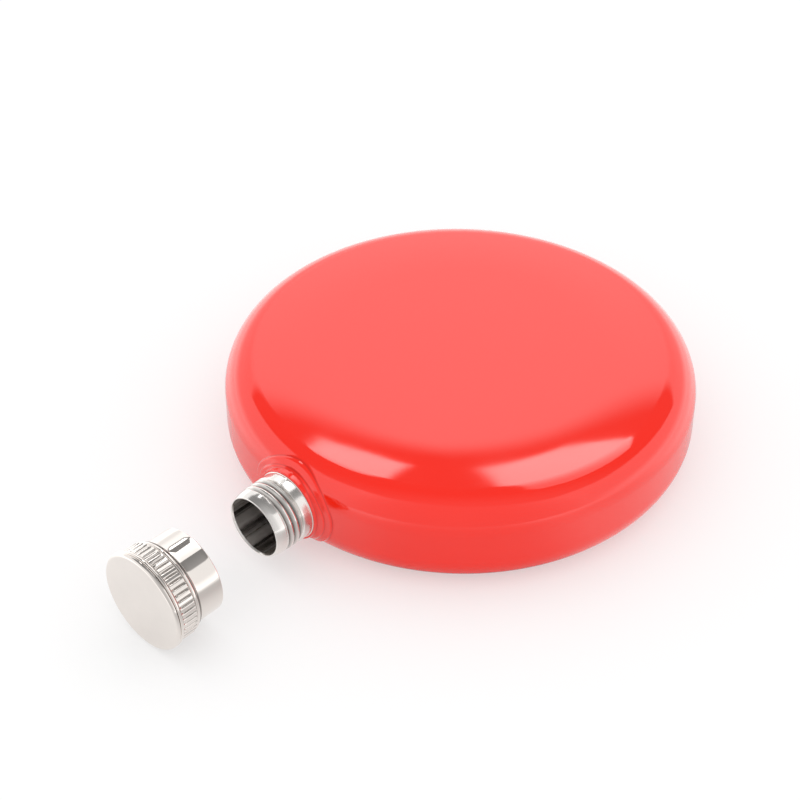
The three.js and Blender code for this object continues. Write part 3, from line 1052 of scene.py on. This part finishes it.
# The ceiling and its lamps, as corners on a level plane one unit over the table. +X is to the camera's right
# and +Y away.
CEILING = (
    [(-1.05, 1.08), (-0.85, -0.1), (-0.45, -0.39), (0.05, -0.5), (0.5, -0.52), (0.5, 0.97), (-0.3, 1.1)],
    [
        (-0.4, 0.92), (-0.4, -0.4), (0.05, -0.5), (0.66, -0.53),
        (1.05, -0.2), (1.3, 0.4), (1.6, 1.2), (0.4, 1.155),
    ],
)
LAMPS = (
    [
        (-0.14, 0.983), (-0.28, 0.74), (-0.3, 0.66), (-0.215, 0.57),
        (-0.155, 0.6), (-0.02, 0.93), (-0.07, 0.967),
    ],
    [
        (0.06, 0.93), (0.21, 0.25), (0.28, 0.15), (0.4, 0.16), (0.505, 0.24),
        (0.59, 0.36), (0.64, 0.51), (0.27, 0.975), (0.16, 1.0),
    ],
)
CEILING_EDGE = 0.13
LAMP_EDGE = 0.02
# Places away over which the ceiling darkens to half, and over which the lamps rise from their least share
ROOF_SPAN = (-0.5, 0.3)
LAMP_SPAN = (0.25, 1.0)
LAMP_LEAST = 0.35
# The high wall's places across from its middle to its ends, and its light there as shares of the far wall's
HIGH_SPAN = (0.25, 0.8)
HIGH_MIDDLE = 0.78
HIGH_ENDS = 0.61
# Upward parts of a direction: the least that is carried on to the ceiling, and where the high wall begins
LEAST_RISE = 0.02
HIGH_RISE = 0.28

# The floor's shine goes by bearing, where -1 is toward the camera, and its gain by distance.
SHINE_SPAN = (-1.0, -0.78)
BESIDE_SPAN = (-0.6, 0.0)
AHEAD_GAIN = (100 * MM, 240 * MM, 1.0, 1.75)
BESIDE_GAIN = (45 * MM, 100 * MM, 0.5, 2.1)
FLOOR_DRIFT = 0.005
CLIP_START = 10 * MM


def patch(tree, over, corners, edge):
    """1 inside a convex patch of the ceiling and 0 outside it, with a soft edge.

    The place's depth inside the patch is its least distance from the lines through neighbouring corners.
    """
    depth = None
    for (ax, ay), (bx, by) in zip(corners, corners[1:] + corners[:1]):
        side = math.hypot(bx - ax, by - ay)
        inward = ((ay - by) / side, (bx - ax) / side, 0.0)
        along = vectors(tree, "DOT_PRODUCT", over, inward)["Value"]
        inside = maths(tree, "SUBTRACT", along, inward[0] * ax + inward[1] * ay)
        depth = inside if depth is None else maths(tree, "MINIMUM", depth, inside)
    return between(tree, depth, -edge / 2, edge / 2)


def turned_to_camera(tree, vector, stage):
    """A vector with +X to the camera's right and +Y away from it."""
    rotation = (0.0, 0.0, -stage.azimuth)
    return node(tree, "Mapping", {"Vector": vector, "Rotation": rotation}).outputs["Vector"]


def bearing(tree, vector):
    """How far such a vector points away from the camera, from -1 to 1, whatever its length and its rise."""
    level = vectors(tree, "MULTIPLY", vector, (1.0, 1.0, 0.0))["Vector"]
    level = vectors(tree, "NORMALIZE", level)["Vector"]
    return node(tree, "SeparateXYZ", {"Vector": level}).outputs["Y"]


def to_the_eye(tree, path):
    """1 for what the camera sees by itself or through a clear thing, else 0."""
    return maths(tree, "MAXIMUM", path["Is Camera Ray"], path["Is Transmission Ray"])


def studio_world(stage):
    """A white studio with even light. What shines shows its walls, its dark ceiling and the lamps there."""
    world = bpy.data.worlds.new("studio")
    world.use_nodes = True
    tree = world.node_tree
    tree.nodes.clear()
    toward = turned_to_camera(tree, node(tree, "TexCoord").outputs["Generated"], stage)
    parts = node(tree, "SeparateXYZ", {"Vector": toward}).outputs
    height = maths(tree, "MAXIMUM", parts["Z"], LEAST_RISE)
    across = maths(tree, "DIVIDE", parts["X"], height)
    away = maths(tree, "DIVIDE", parts["Y"], height)
    over = node(tree, "CombineXYZ", {"X": across, "Y": away}).outputs["Vector"]
    low = between(tree, bearing(tree, toward), -1.0, 0.0, stage.near_wall, stage.far_wall)
    middle, ends = HIGH_MIDDLE * stage.far_wall, HIGH_ENDS * stage.far_wall
    high = between(tree, maths(tree, "ABSOLUTE", across), *HIGH_SPAN, middle, ends)
    high = maths(tree, "MINIMUM", high, low)
    wall = mixed(tree, between(tree, parts["Z"], 0.0, HIGH_RISE), low, high)
    dark = maths(tree, "MAXIMUM", *(patch(tree, over, corners, CEILING_EDGE) for corners in CEILING))
    roof = between(tree, away, *ROOF_SPAN, 2 * stage.ceiling, stage.ceiling)
    level = mixed(tree, dark, wall, roof)
    lamp = between(tree, away, *LAMP_SPAN, LAMP_LEAST * stage.lamps, stage.lamps)
    for corners in LAMPS:
        glow = maths(tree, "MULTIPLY", patch(tree, over, corners, LAMP_EDGE), lamp)
        level = maths(tree, "MAXIMUM", level, glow)
    path = node(tree, "LightPath").outputs
    plain = mixed(tree, to_the_eye(tree, path), stage.plain_light, 1.0)
    light = mixed(tree, path["Is Glossy Ray"], plain, level)
    shown = node(tree, "Background", {"Color": WHITE, "Strength": light})
    node(tree, "OutputWorld", {"Surface": shown.outputs[0]})
    bpy.context.scene.world = world


def floor_finish(stage):
    """Pale matte floor that keeps its shadows.

    It is lifted to white for the eye. What shines shows it by its bearing, and brighter with distance.
    """
    made, tree, shader = finish("pale_floor", {"Roughness": 0.9, "Specular IOR Level": 0.0})
    place = own_place(tree)
    darkest, lightest = stage.floor_white - FLOOR_DRIFT, stage.floor_white + FLOOR_DRIFT
    tone = between(tree, noise(tree, place, scale=3.0), 0.0, 1.0, darkest, lightest)
    path = node(tree, "LightPath").outputs
    seen = to_the_eye(tree, path)
    lit = maths(tree, "MAXIMUM", seen, path["Is Glossy Ray"])
    share = maths(tree, "SUBTRACT", 1.0, maths(tree, "MULTIPLY", lit, 1 - stage.floor_shade))
    tree.links.new(maths(tree, "MULTIPLY", tone, share), shader["Base Color"])
    facing = bearing(tree, turned_to_camera(tree, place, stage))
    distance = vectors(tree, "LENGTH", place)["Value"]
    ahead, beside = between(tree, distance, *AHEAD_GAIN), between(tree, distance, *BESIDE_GAIN)
    gain = mixed(tree, between(tree, facing, *BESIDE_SPAN), ahead, beside)
    shine = between(tree, facing, *SHINE_SPAN, stage.near_shine, stage.far_shine)
    shine = maths(tree, "MULTIPLY", path["Is Glossy Ray"], maths(tree, "MULTIPLY", shine, gain))
    white = stage.floor_lift + (1 - stage.floor_shade) * stage.floor_white * stage.plain_light
    lift = maths(tree, "ADD", maths(tree, "MULTIPLY", seen, white), shine)
    shader["Emission Color"].default_value = WHITE
    tree.links.new(lift, shader["Emission Strength"])
    return made


class FLASK_OT_stage(bpy.types.Operator):
    """Makes the floor, the studio's light and the camera"""

    bl_idname = "flask.stage"
    bl_label = "Stage"

    def execute(self, context):
        stage = context.scene.hip_flask.stage
        half = stage.floor_size / 2
        corners = [(-half, -half, 0), (half, -half, 0), (half, half, 0), (-half, half, 0)]
        mesh = bpy.data.meshes.new("floor")
        mesh.from_pydata(corners, (), [(0, 1, 2, 3)])
        mesh.materials.append(floor_finish(stage))
        floor = bpy.data.objects.new("floor", mesh)
        context.scene.collection.objects.link(floor)
        studio_world(stage)
        camera = bpy.data.objects.new("camera", bpy.data.cameras.new("camera"))
        context.scene.collection.objects.link(camera)
        camera.data.lens = stage.lens
        turn, rise = stage.azimuth, stage.elevation
        right = Vector((math.cos(turn), math.sin(turn), 0))
        back = Vector((math.sin(turn) * math.cos(rise), -math.cos(turn) * math.cos(rise), math.sin(rise)))
        up = back.cross(right)
        centre = Vector(BODY_CENTRE)
        spot = centre - stage.aim_left * right - stage.aim_below * up + stage.distance * back
        camera.matrix_world = Matrix.Translation(spot) @ Matrix((right, up, back)).transposed().to_4x4()
        camera.data.clip_start = CLIP_START
        context.scene.camera = camera
        context.scene.view_settings.view_transform = "Standard"
        return {"FINISHED"}


PIECES = (
    FLASK_OT_body, FLASK_OT_neck, FLASK_OT_cap_shell, FLASK_OT_cap_liner, FLASK_OT_cap_seal, FLASK_OT_stage
)


class FLASK_PT_panel(bpy.types.Panel):
    """Lists the pieces of the flask in the 3D view's sidebar"""

    bl_label = "Round Hip Flask"
    bl_space_type = "VIEW_3D"
    bl_region_type = "UI"
    bl_category = "Flask"

    def draw(self, context):
        for maker in PIECES:
            self.layout.operator(maker.bl_idname)


CLASSES = (
    FlaskBodySizes, FlaskNeckSizes, FlaskCapSizes, FlaskFinish, FlaskStage, FlaskSettings,
    *PIECES, FLASK_PT_panel,
)


def register():
    for kind in CLASSES:
        bpy.utils.register_class(kind)
    bpy.types.Scene.hip_flask = bpy.props.PointerProperty(type=FlaskSettings)


def unregister():
    del bpy.types.Scene.hip_flask
    for kind in reversed(CLASSES):
        bpy.utils.unregister_class(kind)


def main():
    register()
    bpy.ops.flask.body()
    bpy.ops.flask.neck()
    bpy.ops.flask.cap_shell()
    bpy.ops.flask.cap_liner()
    bpy.ops.flask.cap_seal()
    bpy.ops.flask.stage()


if __name__ == "__main__":
    main()
